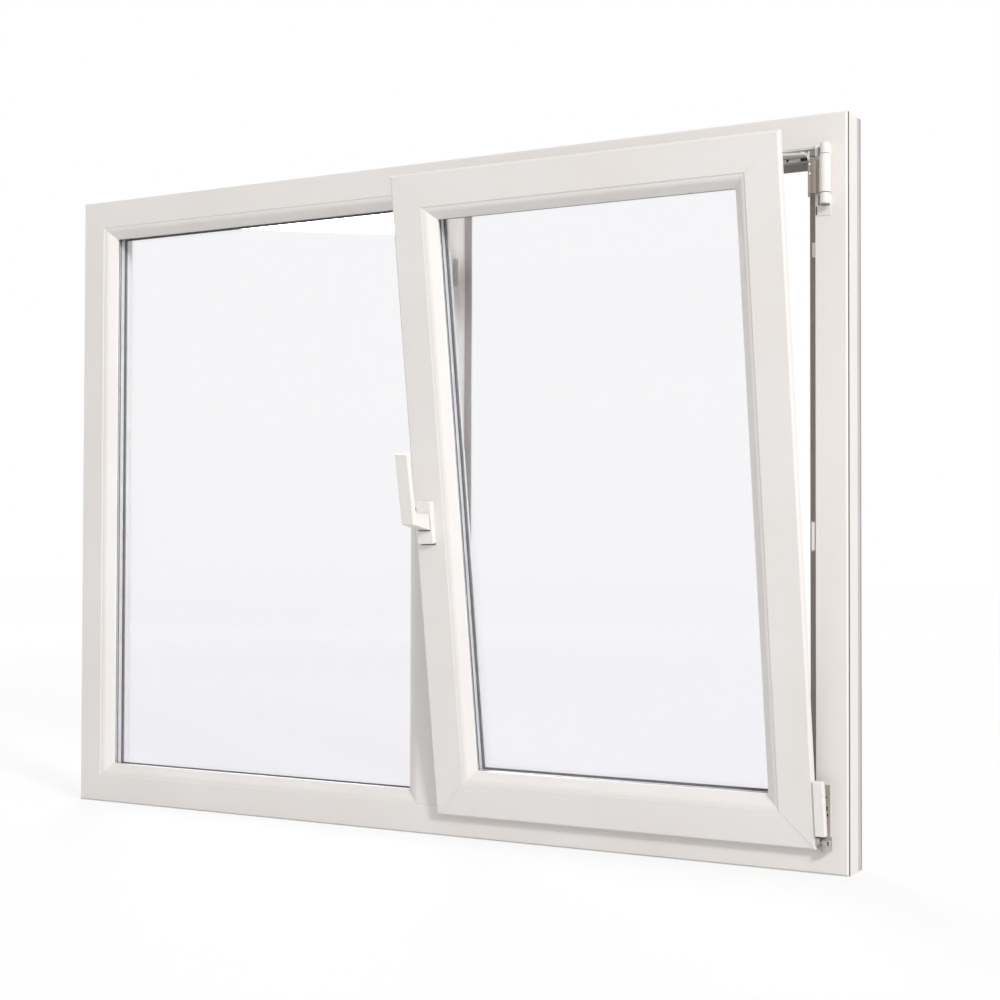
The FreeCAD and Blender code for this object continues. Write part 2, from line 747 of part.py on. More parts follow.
# Bottom hinge: bearing on the frame with its cup, and the upright strip that it is screwed on by
bearing = join("bearing_body", [
    plain_box("bearing_plate", ("pin_x - bearing_left_reach", "bearing_front", "bearing_low"),
              ("pin_x + bearing_right_reach", "face_y", "band_low")),
    plain_box("bearing_strip", ("pin_x - bearing_strip_left_reach", "bearing_front", "tilt_axis_height"),
              ("pin_x + bearing_strip_right_reach", "face_y", "tilt_axis_height + bearing_rise")),
    plain_box("bearing_web", ("pin_x - cup_radius", "pin_y", "bearing_low"),
              ("pin_x + bearing_web_reach", "bearing_front + seal_margin", "cup_top")),
    cylinder("bearing_cup", "cup_radius", "bearing_low", "cup_top"),
])
pieces.append(cut("bottom_bearing", bearing,
                  cylinder("bearing_bore", "hinge_pin_radius + running_gap", "bearing_low + bearing_floor",
                           "cup_top + seal_margin")))

# Turning pin with its disc, head and cross pin
pieces.append(join("bottom_pivot_pin", [
    cylinder("pivot_stem", "hinge_pin_radius", "bearing_low + bearing_floor + pivot_gap",
             "disc_low + seal_margin"),
    cylinder("pivot_disc", "cup_radius", "disc_low", "disc_low + pivot_disc_thickness"),
    cylinder("pivot_head", "pivot_head_radius", "disc_low + seal_margin",
             "tilt_axis_height + pivot_head_rise"),
    cross_cylinder("pivot_cross_pin", "cross_pin_radius", "pin_x - cross_pin_length", "pin_x", "pin_y",
                   "tilt_axis_height"),
]))

# Steel band on the sash's lower corner: an ear on the cross pin and a flat leaf
band = join("corner_band_body", [
    cross_cylinder("corner_band_ear", "cross_pin_radius + ear_wall", "sash_right", "pin_x - ear_gap", "pin_y",
                   "tilt_axis_height"),
    plain_box("corner_band_riser", ("sash_right", "pin_y - riser_half", "tilt_axis_height"),
              ("pin_x - ear_gap", "pin_y + riser_half", "riser_top")),
    plain_box("corner_band_leaf", ("sash_right", "band_front", "band_low"),
              ("band_right", "band_back", "band_high")),
])
band = cut("sash_corner_band", band,
           cross_cylinder("corner_band_bore", "cross_pin_radius + running_gap", "sash_right - seal_margin",
                          "pin_x", "pin_y", "tilt_axis_height"))
place(band, "sash_pose * placement(vector(0; 0; 0); rotation(vector(0; 0; 1); 0))")
pieces.append(band)

# White cover in front of the band, hollow behind for the riser
cover = soften("corner_cover_round",
               plain_box("corner_cover_block", ("cover_left", "cover_front", "cover_bottom"),
                         ("cover_right", "cover_back", "cover_top")), "cover_edge_round",
               [("cover_left", "cover_front", "(cover_bottom + cover_top) / 2"),
                ("cover_right", "cover_front", "(cover_bottom + cover_top) / 2"),
                ("pin_x", "cover_front", "cover_top")])
cover = cut("corner_band_cover", cover,
            plain_box("corner_cover_slot", ("cover_left", "pin_y - riser_half - cover_gap", "cover_bottom"),
                      ("pin_x - ear_gap + cover_gap", "cover_back", "riser_top + cover_gap")))
place(cover, "sash_pose * placement(vector(0; 0; 0); rotation(vector(0; 0; 1); 0))")
pieces.append(cover)

# Handle: a rosette on the left stile and a lever whose flat-sided grip leans out a little
rosette = new_body("handle_rosette")
rosette_sketch = new_sketch(rosette, "XZ_Plane", "handle_rosette_outline")
draw_outline(rosette_sketch, [
    ("-rosette_half_width", "-rosette_half_height"),
    ("rosette_half_width", "-rosette_half_height"),
    ("rosette_half_width", "rosette_half_height"),
    ("-rosette_half_width", "rosette_half_height"),
])
pad(rosette, rosette_sketch, "handle_rosette_pad", "rosette_thickness")
round_edges(rosette, "handle_rosette_corners", "rosette_corner_round", [
    (across, "-rosette_thickness / 2", up)
    for across in ("rosette_half_width", "-rosette_half_width")
    for up in ("rosette_half_height", "-rosette_half_height")])
round_edges(rosette, "handle_rosette_rim", "rosette_rim_round",
            [("rosette_half_width", "-rosette_thickness", "0")])
place(rosette, "sash_pose * placement(vector(handle_x; sash_y; handle_z); rotation(vector(0; 0; 1); 0))")
pieces.append(rosette)
lever = new_body("handle_lever")
lever_sketch = new_sketch(lever, "YZ_Plane", "handle_lever_outline")
draw_outline(lever_sketch, [
    ("-rosette_thickness - lever_gap", "-neck_bottom"),
    ("-lever_reach", "grip_heel"),
    ("-lever_reach - grip_lean", "grip_end"),
    ("-lever_reach - grip_lean + grip_thickness", "grip_end"),
    ("-lever_reach + grip_thickness", "neck_top + neck_rise"),
    ("-rosette_thickness - lever_gap", "neck_top"),
])
pad(lever, lever_sketch, "handle_lever_pad", "lever_width", both=True)
round_edges(lever, "handle_lever_front", "grip_round", [
    (across, "-lever_reach - grip_lean / 2", "(grip_heel + grip_end) / 2")
    for across in ("lever_width / 2", "-lever_width / 2")])
round_edges(lever, "handle_lever_elbow", "elbow_round",
            [("0", "-lever_reach + grip_thickness", "neck_top + neck_rise")])
place(lever, "sash_pose * placement(vector(handle_x; sash_y; handle_z); rotation(vector(0; 0; 1); 0))")
pieces.append(lever)

# Covers over the drain slots on the outside of the sill
for name, centre in (("drain_cover_left", "left_rebate + drain_cover_distance"),
                     ("drain_cover_right", "right_rebate - drain_cover_distance")):
    block = plain_box(name + "_block",
                      (centre + " - drain_cover_half_length", "outside", "drain_cover_bottom"),
                      (centre + " + drain_cover_half_length", "drain_front", "drain_top"))
    pieces.append(soften(name, block, "drain_cover_round", [(centre, "drain_front", "drain_top")]))

# Check every piece, then write one file each
doc.recompute()
for item in doc.Objects:
    if "Invalid" in item.State or "Error" in item.State:
        raise RuntimeError("%s: %s" % (item.Name, item.State))
os.makedirs("parts", exist_ok=True)
for item in pieces:
    shape = item.Shape
    if shape.isNull() or not shape.isValid() or len(shape.Solids) != 1:
        raise RuntimeError("%s has no single valid solid" % item.Label)
    shape.exportStep("parts/%s.step" % item.Label)
    print(item.Label, round(shape.Volume / 1000, 1))
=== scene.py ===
import math

import bmesh
import bpy
from mathutils import Matrix, Vector


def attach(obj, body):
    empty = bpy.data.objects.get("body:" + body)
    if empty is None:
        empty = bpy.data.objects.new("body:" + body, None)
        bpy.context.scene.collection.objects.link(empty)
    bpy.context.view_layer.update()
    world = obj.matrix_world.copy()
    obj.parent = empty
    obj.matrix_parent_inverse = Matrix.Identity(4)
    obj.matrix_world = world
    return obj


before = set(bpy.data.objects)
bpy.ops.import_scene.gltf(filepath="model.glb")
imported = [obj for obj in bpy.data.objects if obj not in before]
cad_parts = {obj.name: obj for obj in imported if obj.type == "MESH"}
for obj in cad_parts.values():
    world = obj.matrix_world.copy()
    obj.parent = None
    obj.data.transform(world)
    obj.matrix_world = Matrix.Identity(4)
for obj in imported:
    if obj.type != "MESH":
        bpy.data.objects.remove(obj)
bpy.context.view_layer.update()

MM = 0.001

# The frame's sizes in metres, as the construction gives them
HALF_WIDTH = 0.8
HEIGHT = 1.2
FACE_Y = -0.035
BACK_Y = 0.035
FACE = 0.053
RIGHT_REBATE = HALF_WIDTH - FACE
MULLION_RIGHT = 0.060
SASH = {"left": 0.0545, "right": 0.7525, "bottom": 0.040, "top": 1.152}
SASH_Y = -0.053
SASH_FACE = 0.058
SASH_DEPTH = 0.065
FLANGE_WIDTH = 0.020
GROOVE_Y = -0.015
REBATE_TOP = HEIGHT - FACE
SEAL_Y = 0.0125
GLASS = {
    "fixed": {"left": -0.742, "right": -0.005, "bottom": 0.058, "top": 1.142, "inner": -0.008},
    "sash": {"left": 0.1175, "right": 0.6895, "bottom": 0.103, "top": 1.089, "inner": -0.026},
}
PANE = 0.004
CAVITY = 0.016
PIN_X = 0.768
PIN_Y = -0.047
TILT_AXIS_Z = 0.051
TILT = math.radians(8.2)
STAY_SWING = math.radians(19.6)

KNUCKLE_PLATE_FRONT = FACE_Y - 1.5 * MM
BEARING_FRONT = FACE_Y - 3 * MM

# How the sash and the stay stand at rest
TILT_POSE = (Matrix.Translation((0, PIN_Y, TILT_AXIS_Z)) @ Matrix.Rotation(TILT, 4, "X")
             @ Matrix.Translation((0, -PIN_Y, -TILT_AXIS_Z)))
STAY_POSE = (Matrix.Translation((PIN_X, PIN_Y, 0)) @ Matrix.Rotation(STAY_SWING, 4, "Z")
             @ Matrix.Translation((-PIN_X, -PIN_Y, 0)))


def srgb(red, green, blue):
    """Turn a display colour of 0 to 255 into a linear one."""
    out = []
    for part in (red, green, blue):
        part /= 255.0
        out.append(part / 12.92 if part <= 0.04045 else ((part + 0.055) / 1.055) ** 2.4)
    return (out[0], out[1], out[2], 1.0)


# Materials

# How a surface's grain is laid out: the same every way, or drawn out along one direction
EVEN = (1, 1, 1)
FINER = (2, 2, 2)
FINEST = (3, 3, 3)
DRAWN_UP = (1, 1, 0.08)
DRAWN_ACROSS = (0.08, 1, 1)
ROLLED_UP = (1, 1, 0.15)
ROLLED_ACROSS = (0.15, 1, 1)
FOLDED_UP = (1, 1, 0.12)


def new_material(name):
    """Start a material with one shader joined to its output."""
    material = bpy.data.materials.new(name)
    material.use_nodes = True
    tree = material.node_tree
    tree.nodes.clear()
    output = tree.nodes.new("ShaderNodeOutputMaterial")
    shader = tree.nodes.new("ShaderNodeBsdfPrincipled")
    tree.links.new(shader.outputs["BSDF"], output.inputs["Surface"])
    return material, tree, shader, output


def noise(tree, scale, detail=4.0, stretch=EVEN):
    """Give a noise value laid out in object space."""
    place = tree.nodes.new("ShaderNodeTexCoord")
    mapping = tree.nodes.new("ShaderNodeMapping")
    mapping.inputs["Scale"].default_value = stretch
    texture = tree.nodes.new("ShaderNodeTexNoise")
    texture.inputs["Scale"].default_value = scale
    texture.inputs["Detail"].default_value = detail
    tree.links.new(place.outputs["Object"], mapping.inputs["Vector"])
    tree.links.new(mapping.outputs["Vector"], texture.inputs["Vector"])
    return texture.outputs["Fac"]


def ramp(tree, value, low, high, low_at=0.3, high_at=0.7):
    """Spread a value between two colours."""
    node = tree.nodes.new("ShaderNodeValToRGB")
    node.color_ramp.elements[0].position = low_at
    node.color_ramp.elements[1].position = high_at
    node.color_ramp.elements[0].color = low
    node.color_ramp.elements[1].color = high
    tree.links.new(value, node.inputs["Fac"])
    return node.outputs["Color"]


def span(tree, value, low, high):
    """Map a value from 0..1 to low..high."""
    node = tree.nodes.new("ShaderNodeMapRange")
    node.inputs["To Min"].default_value = low
    node.inputs["To Max"].default_value = high
    tree.links.new(value, node.inputs["Value"])
    return node.outputs["Result"]


def bump(tree, shader, value, strength, distance):
    """Let a value raise and lower the surface in the light only."""
    node = tree.nodes.new("ShaderNodeBump")
    node.inputs["Strength"].default_value = strength
    node.inputs["Distance"].default_value = distance
    tree.links.new(value, node.inputs["Height"])
    tree.links.new(node.outputs["Normal"], shader.inputs["Normal"])


def plastic(name, low, high, rough_low, rough_high, stretch=EVEN, drag=EVEN):
    """Moulded or drawn plastic: slight mottling, uneven sheen and a fine skin."""
    material, tree, shader, _ = new_material(name)
    mottle = noise(tree, scale=5.0, detail=3.0, stretch=stretch)
    sheen = noise(tree, scale=40.0, detail=3.0, stretch=drag)
    skin = noise(tree, scale=900.0, detail=2.0, stretch=drag)
    tree.links.new(ramp(tree, mottle, low, high), shader.inputs["Base Color"])
    tree.links.new(span(tree, sheen, rough_low, rough_high), shader.inputs["Roughness"])
    bump(tree, shader, skin, strength=0.05, distance=0.0002)
    shader.inputs["IOR"].default_value = 1.5
    return material


PROFILE_LOW = srgb(235, 230, 226)
PROFILE_HIGH = srgb(239, 235, 232)
profile_white = plastic("profile_white", PROFILE_LOW, PROFILE_HIGH, 0.30, 0.42, drag=DRAWN_UP)
profile_flat = plastic("profile_white_across", PROFILE_LOW, PROFILE_HIGH, 0.30, 0.42, drag=DRAWN_ACROSS)
fitting_white = plastic("fitting_white", srgb(237, 234, 231), srgb(242, 239, 236), 0.22, 0.34)
handle_white = plastic("handle_white", srgb(235, 230, 224), srgb(239, 235, 229), 0.24, 0.36)
seam_white = plastic("weld_seam", PROFILE_LOW, PROFILE_HIGH, 0.40, 0.52, stretch=FINEST)
strip_grey = plastic("outer_strip", srgb(195, 191, 189), srgb(204, 200, 198), 0.4, 0.55, stretch=FINER)
edge_grey = plastic("outer_edge", srgb(150, 148, 147), srgb(164, 162, 161), 0.4, 0.55, stretch=FINER)


def rubber(name, low, high):
    """Matt rubber or sealant with a grainy skin; the same finish also makes the dark plates of painted
    shade.
    """
    material, tree, shader, _ = new_material(name)
    sheen = noise(tree, scale=25.0)
    skin = noise(tree, scale=1500.0, detail=2.0)
    tree.links.new(ramp(tree, noise(tree, scale=60.0), low, high), shader.inputs["Base Color"])
    tree.links.new(span(tree, sheen, 0.55, 0.75), shader.inputs["Roughness"])
    bump(tree, shader, skin, strength=0.2, distance=0.0003)
    return material


gasket_grey = rubber("gasket_grey", srgb(120, 119, 119), srgb(138, 137, 137))
# Grey of the lip and overlap seals; the same grey also makes painted shadow beside the top hinge's knuckles.
gasket_dark = rubber("gasket_dark", srgb(146, 140, 136), srgb(150, 144, 140))
# Dark grey for real joints, as in the hinge washers; the same grey is painted shade in the outer groove,
# under the handle's neck and round the rosette.
joint_dark_and_painted_shade = rubber("joint_dark_and_painted_shade", srgb(98, 91, 89), srgb(114, 107, 105))
# Butyl sealant grey; the same grey darkens the lower knuckle's underside.
butyl_and_underside_grey = rubber("butyl_and_underside_grey", srgb(118, 116, 117), srgb(134, 132, 133))


def steel(name, low, high, rough_low, rough_high, drag, metallic):
    """Zinc-plated steel with a fine rolled grain and faint blotches."""
    material, tree, shader, _ = new_material(name)
    blotches = noise(tree, scale=30.0, detail=5.0, stretch=drag)
    sheen = noise(tree, scale=160.0, detail=3.0, stretch=drag)
    grain = noise(tree, scale=700.0, detail=2.0, stretch=drag)
    shader.inputs["Metallic"].default_value = metallic
    tree.links.new(ramp(tree, blotches, low, high), shader.inputs["Base Color"])
    tree.links.new(span(tree, sheen, rough_low, rough_high), shader.inputs["Roughness"])
    bump(tree, shader, grain, strength=0.12, distance=0.0002)
    return material


plated_steel = steel("plated_steel", srgb(178, 171, 165), srgb(208, 203, 198), 0.32, 0.5, ROLLED_UP, 0.4)
arm_steel = steel("arm_steel", srgb(206, 204, 199), srgb(228, 227, 223), 0.3, 0.5, ROLLED_ACROSS, 0.45)
rebate_steel = steel("rebate_steel", srgb(232, 231, 228), srgb(244, 243, 241), 0.4, 0.55, ROLLED_ACROSS, 0.1)
spacer_metal = steel("spacer_metal", srgb(212, 211, 211), srgb(226, 225, 225), 0.35, 0.5, EVEN, 0.6)
warm_steel = steel("warm_steel", srgb(150, 137, 125), srgb(182, 168, 156), 0.35, 0.5, FOLDED_UP, 0.4)
crank_steel = steel("crank_edge_steel", srgb(150, 142, 138), srgb(182, 174, 169), 0.35, 0.5, FOLDED_UP, 0.4)
# Painted shade: near-black plates that stand for the shade inside punched openings, screw recesses and the
# opening under the corner's cover.
recess_painted_shade = rubber("painted_shade_in_recess", srgb(32, 30, 29), srgb(46, 44, 42))


def clear_glass():
    """Clear float glass: faintly bluish, with painted shade that makes it darker towards the bottom and
    fades upwards, and no heavy shadow behind it.
    """
    painted_shade_low_z = -0.1
    painted_shade_high_z = 0.75
    material, tree, shader, output = new_material("clear_glass")
    shader.inputs["Transmission Weight"].default_value = 1.0
    shader.inputs["IOR"].default_value = 1.45
    place = tree.nodes.new("ShaderNodeTexCoord")
    parts = tree.nodes.new("ShaderNodeSeparateXYZ")
    tree.links.new(place.outputs["Object"], parts.inputs["Vector"])
    rise = tree.nodes.new("ShaderNodeMapRange")
    rise.inputs["From Min"].default_value = painted_shade_low_z
    rise.inputs["From Max"].default_value = painted_shade_high_z
    tree.links.new(parts.outputs["Z"], rise.inputs["Value"])
    # Glass colour: faintly bluish of its own, with painted shade that darkens it towards the bottom.
    glass_colour_with_painted_shade = ramp(tree, rise.outputs["Result"], srgb(249, 248, 251), srgb(251, 251, 252), 0.0, 1.0)
    tree.links.new(glass_colour_with_painted_shade, shader.inputs["Base Color"])
    tree.links.new(span(tree, noise(tree, 6.0, 2.0), 0.0, 0.012), shader.inputs["Roughness"])
    through = tree.nodes.new("ShaderNodeBsdfTransparent")
    through.inputs["Color"].default_value = srgb(247, 249, 251)
    path = tree.nodes.new("ShaderNodeLightPath")
    mix = tree.nodes.new("ShaderNodeMixShader")
    tree.links.new(path.outputs["Is Shadow Ray"], mix.inputs["Fac"])
    tree.links.new(shader.outputs["BSDF"], mix.inputs[1])
    tree.links.new(through.outputs["BSDF"], mix.inputs[2])
    tree.links.new(mix.outputs["Shader"], output.inputs["Surface"])
    return material


glass = clear_glass()

ACROSS = ("sill", "head", "bottom", "top")


def node_material(name):
    """Choose the finish of one construction node."""
    if "pane" in name:
        return glass
    if "spacer" in name:
        return spacer_metal
    if "frame_lip_seal" in name or "overlap_seal" in name:
        return gasket_dark
    if "gasket" in name:
        return gasket_grey
    if name == "handle_lever":
        return handle_white
    if name in ("handle_rosette", "corner_band_cover", "stay_sleeve_cover"):
        return fitting_white
    if name.startswith("head_rebate"):
        return rebate_steel
    if name.startswith("stay"):
        return arm_steel
    if name.startswith(("keeper", "bottom_bearing", "bottom_pivot", "sash_lock", "sash_top_strip",
                        "sash_corner_band", "top_hinge_pin")):
        return plated_steel
    if any(word in name for word in ACROSS):
        return profile_flat
    return profile_white


for node_name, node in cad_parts.items():
    finish = node_material(node_name)
    if not node.material_slots:
        node.data.materials.append(finish)
    for slot in node.material_slots:
        slot.material = finish


# Fine pieces, each laid out on a small flat frame of its own and carried by the body it sits on

def on_face(origin, across, up):
    """Give the matrix of a face: X across it, Y up it and Z out of it."""
    across = Vector(across).normalized()
    up = Vector(up).normalized()
    out = across.cross(up)
    return Matrix((
        (across.x, up.x, out.x, origin[0]),
        (across.y, up.y, out.y, origin[1]),
        (across.z, up.z, out.z, origin[2]),
        (0, 0, 0, 1)))


def add_piece(name, shape, pose, material, body):
    """Turn a bmesh into a piece that rides on one body."""
    bmesh.ops.recalc_face_normals(shape, faces=shape.faces)
    shape.transform(pose)
    mesh = bpy.data.meshes.new(name)
    shape.to_mesh(mesh)
    shape.free()
    mesh.materials.append(material)
    piece = bpy.data.objects.new(name, mesh)
    bpy.context.collection.objects.link(piece)
    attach(piece, body)


def revolved(profile, steps=28):
    """Turn a list of (radius, height) points around the local Z axis; it starts and ends on the axis."""
    shape = bmesh.new()
    low = shape.verts.new((0, 0, profile[0][1]))
    high = shape.verts.new((0, 0, profile[-1][1]))
    rings = []
    for radius, height in profile[1:-1]:
        rings.append([shape.verts.new((radius * math.cos(2 * math.pi * step / steps),
                                       radius * math.sin(2 * math.pi * step / steps), height))
                      for step in range(steps)])
    for step in range(steps):
        after = (step + 1) % steps
        shape.faces.new((low, rings[0][after], rings[0][step]))
        for ring, next_ring in zip(rings, rings[1:]):
            shape.faces.new((ring[step], ring[after], next_ring[after], next_ring[step]))
        shape.faces.new((rings[-1][step], rings[-1][after], high))
    return shape


def disc(radius, thickness):
    """Give a flat round disc that lies on its origin."""
    return revolved([(0, 0), (radius, 0), (radius, thickness), (0, thickness)])


def layered(loops):
    """Join closed loops of equal length into a solid with flat ends."""
    shape = bmesh.new()
    rows = [[shape.verts.new(point) for point in loop] for loop in loops]
    count = len(rows[0])
    for row, next_row in zip(rows, rows[1:]):
        for step in range(count):
            after = (step + 1) % count
            shape.faces.new((row[step], row[after], next_row[after], next_row[step]))
    shape.faces.new(rows[0][::-1])
    shape.faces.new(rows[-1])
    return shape


def closed_ring(loops):
    """Join closed loops into a ring: each loop to the next and the last to the first."""
    shape = bmesh.new()
    rows = [[shape.verts.new(point) for point in loop] for loop in loops]
    count = len(rows[0])
    for row, next_row in zip(rows, rows[1:] + rows[:1]):
        for step in range(count):
            after = (step + 1) % count
            shape.faces.new((row[step], row[after], next_row[after], next_row[step]))
    return shape


def plate(outline, thickness, edge):
    """Raise an outline into a plate whose upper rim is chamfered."""
    half_x = max(abs(x) for x, _ in outline)
    half_y = max(abs(y) for _, y in outline)
    inner = [(x * (1 - edge / half_x), y * (1 - edge / half_y)) for x, y in outline]
    return layered([
        [(x, y, 0) for x, y in outline],
        [(x, y, thickness - edge) for x, y in outline],
        [(x, y, thickness) for x, y in inner]])


def rounded(width, height, radius, steps=6):
    """Give the outline of a rectangle with round corners about the middle."""
    points = []
    for turn, (side_x, side_y) in enumerate(((1, 1), (-1, 1), (-1, -1), (1, -1))):
        for step in range(steps + 1):
            angle = math.pi / 2 * (turn + step / steps)
            points.append((side_x * (width / 2 - radius) + radius * math.cos(angle),
                           side_y * (height / 2 - radius) + radius * math.sin(angle)))
    return points


def rivet(name, face, radius, rise, material, body, pose=Matrix()):
    """A low domed head."""
    profile = [(0, 0), (radius, 0), (radius, 0.35 * rise), (0.8 * radius, 0.75 * rise),
               (0.45 * radius, 0.95 * rise), (0, rise)]
    add_piece(name, revolved(profile), pose @ face, material, body)


def hole(name, face, width, height, body, pose=Matrix()):
    """A punched opening: a near-black plate of painted shade for its hollow, with a thin pressed rim around
    it.
    """
    hollow_rise = 0.25 * MM
    rim_rise = 0.4 * MM
    rim_width = 0.6 * MM
    rim_rounding = 0.55 * MM
    radius = min(width, height) / 2 * 0.98
    hollow = plate(rounded(width, height, radius), hollow_rise, 0.1 * MM)
    add_piece(name, hollow, pose @ face, recess_painted_shade, body)
    outer = rounded(width + 2 * rim_width, height + 2 * rim_width, radius + rim_rounding)
    inner = rounded(width, height, radius)
    rim = closed_ring([
        [(x, y, 0) for x, y in outer],
        [(x, y, rim_rise) for x, y in outer],
        [(x, y, rim_rise) for x, y in inner],
        [(x, y, 0) for x, y in inner]])
    add_piece(name + "_rim", rim, pose @ face, plated_steel, body)


def ridge(name, start, end, normal, width, rise, material, body, pose=Matrix()):
    """A low straight bead between two points of a flat face."""
    start = Vector(start)
    end = Vector(end)
    along = end - start
    length = along.length
    face = on_face(start, Vector(normal).cross(along), along)
    section = [(-width / 2, 0), (-width / 4, rise * 0.8), (0, rise), (width / 4, rise * 0.8), (width / 2, 0)]
    bar = layered([[(x, 0, z) for x, z in section], [(x, length, z) for x, z in section]])
    add_piece(name, bar, pose @ face, material, body)


# Directions
ROOM = (0, -1, 0)
OUTDOORS = (0, 1, 0)
ACROSS_X = (1, 0, 0)
UPWARD = (0, 0, 1)


def weld_seams():
    """The welded corners, seen as thin diagonal lines on the frame's back and on both faces of the sash."""
    width = 0.8 * MM
    rise = 0.02 * MM
    lip_width = 15 * MM
    edge_margin = 3.2 * MM
    frame_box = {"left": -HALF_WIDTH, "right": HALF_WIDTH, "bottom": 0, "top": HEIGHT}
    jobs = (("frame_back", frame_box, BACK_Y, OUTDOORS, FACE + lip_width, Matrix(), edge_margin),
            ("sash", SASH, SASH_Y, ROOM, SASH_FACE, TILT_POSE, edge_margin),
            ("sash_back", SASH, SASH_Y + SASH_DEPTH, OUTDOORS, SASH_FACE + lip_width, TILT_POSE,
             FLANGE_WIDTH))
    for label, box, depth, normal, face_width, pose, margin in jobs:
        body = label.split("_")[0]
        reach = face_width - MM
        for side, across in (("left", 1), ("right", -1)):
            for level, up in (("bottom", 1), ("top", -1)):
                start = (box[side] + across * margin, depth, box[level] + up * margin)
                end = (box[side] + across * reach, depth, box[level] + up * reach)
                ridge("%s_weld_%s_%s" % (label, side, level), start, end, normal, width, rise, seam_white,
                      body, pose)


def side_ring(name, start, end, inner, outer, material):
    """Lay a ring around the frame's outer sides between two depths."""
    loops = []
    for depth, step in ((start, inner), (start, outer), (end, outer), (end, inner)):
        loops.append([(-HALF_WIDTH + step, depth, step), (HALF_WIDTH - step, depth, step),
                      (HALF_WIDTH - step, depth, HEIGHT - step), (-HALF_WIDTH + step, depth, HEIGHT - step)])
    add_piece(name, closed_ring(loops), Matrix(), material, "frame")


def outer_strips():
    """Painted shade in the front groove, laid in as a dark strip, and the two greyer strips along the rear
    of the outer sides.
    """
    strip_start = 0.0163
    edge_start = 0.0262
    edge_end = 0.0329
    inner_step = 1.1 * MM
    # Painted shade: a dark strip fills the front groove, standing for the shade inside it.
    side_ring("outer_groove_painted_shade", -0.0322, -0.0259, 5.9 * MM, -0.05 * MM, joint_dark_and_painted_shade)
    side_ring("outer_rear_strip", strip_start, edge_start, inner_step, 0.4 * MM, strip_grey)
    side_ring("outer_rear_edge", edge_start, edge_end, inner_step, 0.5 * MM, edge_grey)


def butyl_lines():
    """The dark sealing lines along both edges of each spacer."""
    inset = 4 * MM
    height = 9 * MM
    proud = 1.4 * MM
    thick = 1.2 * MM
    for label, box in GLASS.items():
        pose = TILT_POSE if label == "sash" else Matrix()
        body = "sash" if label == "sash" else "frame"
        cavity_start = box["inner"] + PANE
        for side, depth in (("inner", cavity_start), ("outer", cavity_start + CAVITY - thick)):
            loops = []
            for level, push in ((depth, 0.0), (depth, proud), (depth + thick, proud), (depth + thick, 0.0)):
                step = inset + height + push
                loops.append([(box["left"] + step, level, box["bottom"] + step),
                              (box["right"] - step, level, box["bottom"] + step),
                              (box["right"] - step, level, box["top"] - step),
                              (box["left"] + step, level, box["top"] - step)])
            name = "%s_butyl_%s" % (label, side)
            add_piece(name, closed_ring(loops), pose, butyl_and_underside_grey, body)


def rebate_plate_details():
    """Rivets, punched openings and pressed lines on the steel plate in the head's corner."""
    plate_thickness = 1.5 * MM
    flat_z = REBATE_TOP - plate_thickness
    leg_y = 0.015 - plate_thickness
    rivet_spots = ((0.727, -0.020), (0.690, -0.012))
    line_left = 0.658
    line_right = 0.745
    line_levels = (1.1368, 1.1440)
    for index, (x, y) in enumerate(rivet_spots):
        rivet("rebate_rivet_%d" % (index + 1), on_face((x, y, flat_z), ACROSS_X, (0, -1, 0)),
              2.6 * MM, 1.2 * MM, fitting_white, "frame")
    hole("rebate_slot", on_face((0.7115, leg_y, 1.1408), ACROSS_X, UPWARD), 13 * MM, 5 * MM, "frame")
    hole("rebate_hole", on_face((0.683, leg_y, 1.1415), ACROSS_X, UPWARD), 4 * MM, 4 * MM, "frame")
    for index, level in enumerate(line_levels):
        ridge("rebate_line_%d" % (index + 1), (line_left, leg_y, level), (line_right, leg_y, level), ROOM,
              1.0 * MM, 0.5 * MM, arm_steel, "frame")


def crank_details():
    """The folded edge with rivets and hole, the swelled channel, the rib and the lug of the stay's crank."""
    front = FACE_Y - 4.0 * MM
    low = 1.066
    high = 1.1255
    fold = 0.7 * MM
    edge = on_face((0.7428, front, (low + high) / 2), ACROSS_X, UPWARD)
    edge_shape = plate(rounded(3.4 * MM, high - low, 1.5 * MM), fold, 0.25 * MM)
    add_piece("crank_edge", edge_shape, STAY_POSE @ edge, crank_steel, "stay")
    rivet_levels = (1.1183, 1.1036)
    for index, level in enumerate(rivet_levels):
        rivet("crank_rivet_%d" % (index + 1), on_face((0.7440, front - fold, level), ACROSS_X, UPWARD),
              1.7 * MM, 0.9 * MM, fitting_white, "stay", STAY_POSE)
    hole("crank_hole", on_face((0.7430, front - fold, 1.0716), ACROSS_X, UPWARD), 2.2 * MM, 2.6 * MM,
         "stay", STAY_POSE)
    left = 0.7448
    right = 0.7578
    channel_low = 1.0725
    channel_high = 1.1250
    edge_rise = 0.2
    swell = 1.6
    wave = []
    steps = 26
    for step in range(steps + 1):
        share = step / steps
        rise = edge_rise + swell * math.sin(math.pi * share)
        wave.append((left + (right - left) * share, front - rise * MM))
    wave += [(right, front), (left, front)]
    channel = layered([[(x, y, level) for x, y in wave] for level in (channel_low, channel_high)])
    add_piece("crank_channel", channel, STAY_POSE, warm_steel, "stay")
    rib_x = 0.7540
    rib_y = front - 1.0 * MM
    ridge("crank_rib", (rib_x, rib_y, 1.0735), (rib_x, rib_y, 1.1245), ROOM, 4.9 * MM, 1.2 * MM,
          plated_steel, "stay", STAY_POSE)
    lug_centre = (0.7300, 1.1262)
    lug_outer = 13.0 * MM
    lug_inner = 10.6 * MM
    arc = []
    for radius, order in ((lug_outer, range(0, 11)), (lug_inner, range(10, -1, -1))):
        for step in order:
            angle = math.radians(9 * step)
            arc.append((lug_centre[0] + radius * math.cos(angle), lug_centre[1] + radius * math.sin(angle)))
    lug = layered([[(x, y, z) for x, z in arc] for y in (front, front + 2 * MM)])
    add_piece("crank_lug", lug, STAY_POSE, arm_steel, "stay")


